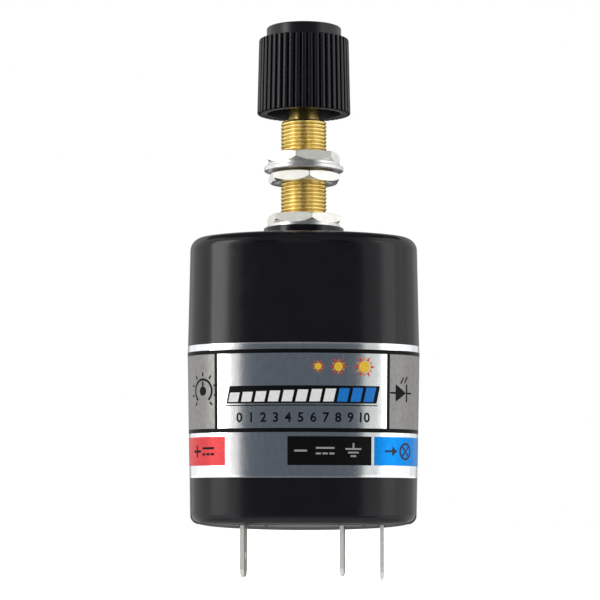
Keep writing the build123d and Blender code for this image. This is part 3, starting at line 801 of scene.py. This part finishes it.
def flag(name, az0, az1, r0, r1, color):
    """Dark sheet low over the floor, seen only in the reflections: cloth flags, and the painted shadow under the case.
    """
    n = 24
    vs, fs = [], []
    for i in range(n + 1):
        a = math.radians(az0 + (az1 - az0) * i / n)
        for r in (r0, r1):
            vs.append((r * math.sin(a), -r * math.cos(a), FLOOR_Z + 0.002))
    for i in range(n):
        fs.append((2 * i, 2 * i + 1, 2 * i + 3, 2 * i + 2))
    ob = studio(name, vs, fs, color, 1.0)
    ob.visible_diffuse = False
    return ob


def studio(name, vs, fs, color, strength):
    me = bpy.data.meshes.new(name)
    me.from_pydata(vs, [], fs)
    me.materials.append(emitter(name, color, strength))
    ob = bpy.data.objects.new(name, me)
    scene.collection.objects.link(ob)
    ob.visible_camera = False
    ob.visible_shadow = False
    return ob


FLOOR_Z = -0.128
ROOM = (0.086, 0.101, 0.122)
panel("room_front", -43, 40, -9, 14, ROOM)
panel("room_front_high", -43, 40, 14, 45, (0.27, 0.27, 0.27))
panel("softbox_left_rim", -52, -43, -9, 32, (1.0, 0.97, 0.95), 0.72)
panel("softbox_left_rim_high", -52, -43, 32, 58, (1.0, 0.97, 0.95), 0.42)
panel("softbox_left", -69, -52, -0.5, 40, (1.0, 0.99, 0.97), 4.5)
panel("softbox_left_high", -69, -52, 40, 58, (1.0, 0.99, 0.97), 0.90)
panel("softbox_left_foot", -69, -52, -9, -0.5, (1.0, 0.99, 0.97), 1.6)
panel("wall_left", -112, -69, -9, 58, (1.0, 1.0, 1.0), 1.10)
panel("wall_left_back", -145, -112, -9, 45, (1.0, 1.0, 1.0), 1.0)
panel("wall_back", 145, 215, -9, 45, (1.0, 1.0, 1.0), 0.50)
panel("wall_right_back", 112, 145, -9, 45, (1.0, 1.0, 1.0), 0.86)
panel("wall_right", 66, 88, -9, 58, (1.0, 1.0, 1.0), 1.35)
panel("wall_right_far", 88, 112, -9, 58, (1.0, 1.0, 1.0), 1.06)
panel("softbox_right", 54, 66, -9, 40, (0.99, 1.0, 1.0), 2.05)
panel("softbox_right_high", 54, 66, 40, 58, (0.99, 1.0, 1.0), 0.60)
panel("softbox_right_rim", 40, 54, -9, 32, (0.95, 1.0, 0.96), 0.62)
panel("softbox_right_rim_high", 40, 54, 32, 58, (0.95, 1.0, 0.96), 0.35)
panel("ceiling_front", -43, 40, 45, 90, (0.22, 0.22, 0.22))
panel("ceiling_right", 40, 112, 58, 90, (0.12, 0.12, 0.12))
panel("ceiling_back", 112, 248, 45, 90, (0.12, 0.12, 0.12))
panel("ceiling_left", -112, -43, 58, 90, (0.12, 0.12, 0.12))
thread_only = bpy.data.collections.new("thread_only")
thread_only.objects.link(bpy.data.objects["threaded_bushing"])
for ob in (card("card_left", -38, -17, -2, 22, (1.0, 0.98, 0.94), 2.9), card("card_right", 14, 36, -2, 22, (1.0, 0.98, 0.95), 2.9)):
    ob.light_linking.receiver_collection = thread_only
flag("cloth_front", -43, 40, 0.26, 1.59, ROOM)
flag("cloth_centre", -48, 54, 0.10, 0.26, (0.24, 0.24, 0.25))
# painted shadow: a darker disc under the case stands in for the shadow it casts on the floor
flag("floor_shadow_sheet", -180, 180, 0.0, 0.10, (0.70, 0.70, 0.70))
flag("cloth_back", 145, 212, 0.10, 1.59, (0.12, 0.12, 0.12))

floor_mat = Mat("floor", (0.50, 0.50, 0.50), rough=0.7)
floor_mat.color(floor_mat.noise(6, 2, 0.5), [(0.3, (0.495, 0.495, 0.495)), (0.7, (0.51, 0.51, 0.51))])
floor_mat.bsdf.inputs["Emission Color"].default_value = (1, 1, 1, 1)
floor_mat.bsdf.inputs["Emission Strength"].default_value = 0.80
me = bpy.data.meshes.new("floor")
nf = 64
me.from_pydata([(12 * math.cos(2 * math.pi * i / nf), 12 * math.sin(2 * math.pi * i / nf), FLOOR_Z) for i in range(nf)], [], [tuple(range(nf))])
me.materials.append(floor_mat.m)
floor = bpy.data.objects.new("floor", me)
scene.collection.objects.link(floor)

world = bpy.data.worlds.new("studio")
scene.world = world
world.use_nodes = True
bg = world.node_tree.nodes["Background"]
bg.inputs["Color"].default_value = (1, 1, 1, 1)
bg.inputs["Strength"].default_value = 1.0
scene.view_settings.view_transform = "Standard"
scene.view_settings.look = "None"

# ---------------------------------------------------------------------- camera
cam_data = bpy.data.cameras.new("camera")
cam_data.sensor_fit = "HORIZONTAL"
cam_data.sensor_width = 36.0
cam_data.lens = 36.0 * 2400 / 600
cam_data.clip_start, cam_data.clip_end = 0.01, 60.0
cam = bpy.data.objects.new("camera", cam_data)
scene.collection.objects.link(cam)
cam.location = (-0.00076, -0.4978, -0.0717)
tilt = Euler((math.radians(90) + math.atan(218 / 2400), 0, 0)).to_matrix()
cam.rotation_euler = (tilt @ Matrix.Rotation(math.radians(0.07), 3, "Z")).to_euler()
scene.camera = cam
